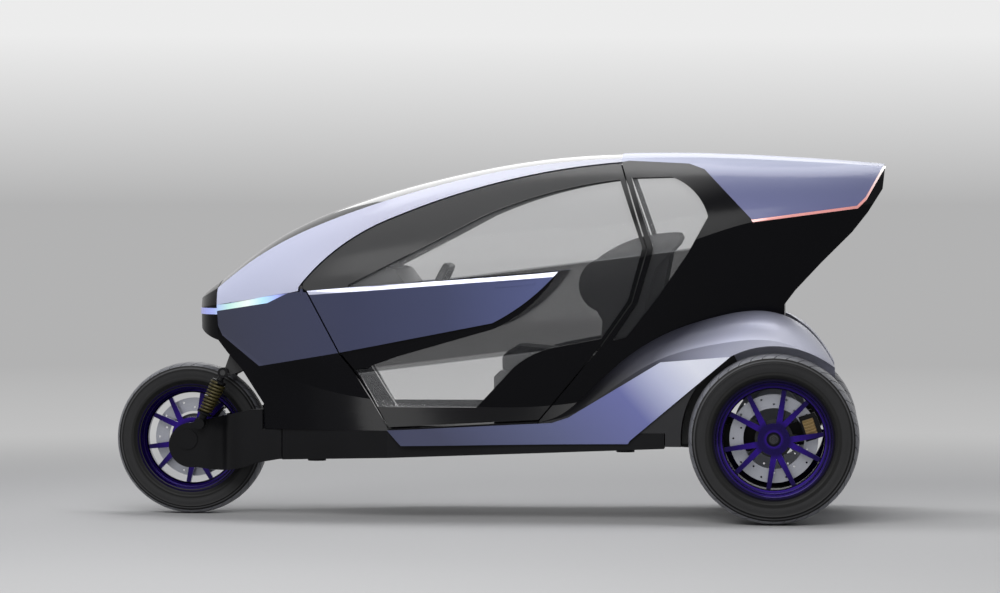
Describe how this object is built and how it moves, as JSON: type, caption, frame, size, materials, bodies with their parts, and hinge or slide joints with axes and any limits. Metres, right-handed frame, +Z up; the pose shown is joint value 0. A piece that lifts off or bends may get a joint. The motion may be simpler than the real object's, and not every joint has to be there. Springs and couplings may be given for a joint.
{
  "type": "electric microcar",
  "caption": "Enclosed electric microcar with a hub-steered wheel at the nose, flared haunches over the rear wheels, blade-sided glass doors and a long glazed cabin tapering to a lifted tail.",
  "frame": {"origin": "on the ground, under the middle of the length", "axes": "-X is the nose, +Z up, -Y the car's left side"},
  "size_m": [3.074, 1.0848, 1.4464],
  "materials": {
    "pearl_lavender": "gloss",
    "lavender": "gloss",
    "indigo": "gloss",
    "clear_glass": "gloss",
    "front_lamp": "gloss",
    "rear_lamp": "gloss",
    "black_gloss": "gloss",
    "graphite": "satin",
    "black_plastic": "matte",
    "black_steel": "satin",
    "battery_case": "satin",
    "bright_steel": "satin",
    "gold_spring": "satin",
    "seat_fabric": "matte",
    "violet_rim": "gloss",
    "tyre": "matte"
  },
  "bodies": {
    "root": {"cant_rails": "pearl_lavender", "front_wings": "indigo", "windscreen": "clear_glass", "nose_cap": "indigo", "headlamp_strip": "front_lamp", "lower_cowl": "black_gloss", "tail_deck": "lavender", "rear_quarter_left": "black_gloss", "rear_quarter_right": "black_gloss", "quarter_glass": "clear_glass", "tail_panel": "black_gloss", "haunch_left": "graphite", "haunch_right": "graphite", "side_skirt_left": "lavender", "side_skirt_right": "lavender", "chassis_tray": "black_plastic", "battery_pack": "battery_case", "floor_pan": "black_plastic", "front_arms": "black_steel", "front_axle": "bright_steel", "front_bulkhead": "black_plastic", "front_springs": "gold_spring", "rear_subframe": "black_steel", "drive_unit": "battery_case", "seat_shell": "black_plastic", "seat_pads": "seat_fabric", "dashboard": "black_plastic", "steering_wheel": "black_plastic", "tail_lamp_strip": "rear_lamp"},
    "front_hub": {"hub_carrier": "black_steel"},
    "front_wheel": {"rim_front": "violet_rim", "tyre_front": "tyre", "brake_disc_front": "bright_steel"},
    "rear_wheel_left": {"rim_rear_left": "violet_rim", "tyre_rear_left": "tyre", "brake_disc_rear_left": "bright_steel"},
    "rear_wheel_right": {"rim_rear_right": "violet_rim", "tyre_rear_right": "tyre", "brake_disc_rear_right": "bright_steel"},
    "door_left": {"door_frame_left": "black_gloss", "door_blade_left": "indigo", "door_glass_left": "clear_glass"},
    "door_right": {"door_frame_right": "black_gloss", "door_blade_right": "indigo", "door_glass_right": "clear_glass"}
  },
  "joints": [
    {"name": "steer", "type": "hinge", "parent": "root", "child": "front_hub", "pos_m": [-1.232, 0, 0.304], "axis": [0, 0, 1], "range_deg": [-25, 25]},
    {"name": "front_wheel_spin", "type": "hinge", "parent": "front_hub", "child": "front_wheel", "pos_m": [-1.232, 0, 0.304], "axis": [0, 1, 0], "continuous": true},
    {"name": "rear_wheel_left_spin", "type": "hinge", "parent": "root", "child": "rear_wheel_left", "pos_m": [1.104, -0.44, 0.332], "axis": [0, 1, 0], "continuous": true},
    {"name": "rear_wheel_right_spin", "type": "hinge", "parent": "root", "child": "rear_wheel_right", "pos_m": [1.104, 0.44, 0.332], "axis": [0, 1, 0], "continuous": true},
    {"name": "door_left_hinge", "type": "hinge", "parent": "root", "child": "door_left", "pos_m": [-0.75, -0.341, 0.91], "axis": [0, 0, -1], "range_deg": [0, 60]},
    {"name": "door_right_hinge", "type": "hinge", "parent": "root", "child": "door_right", "pos_m": [-0.75, 0.341, 0.91], "axis": [0, 0, 1], "range_deg": [0, 60]}
  ]
}
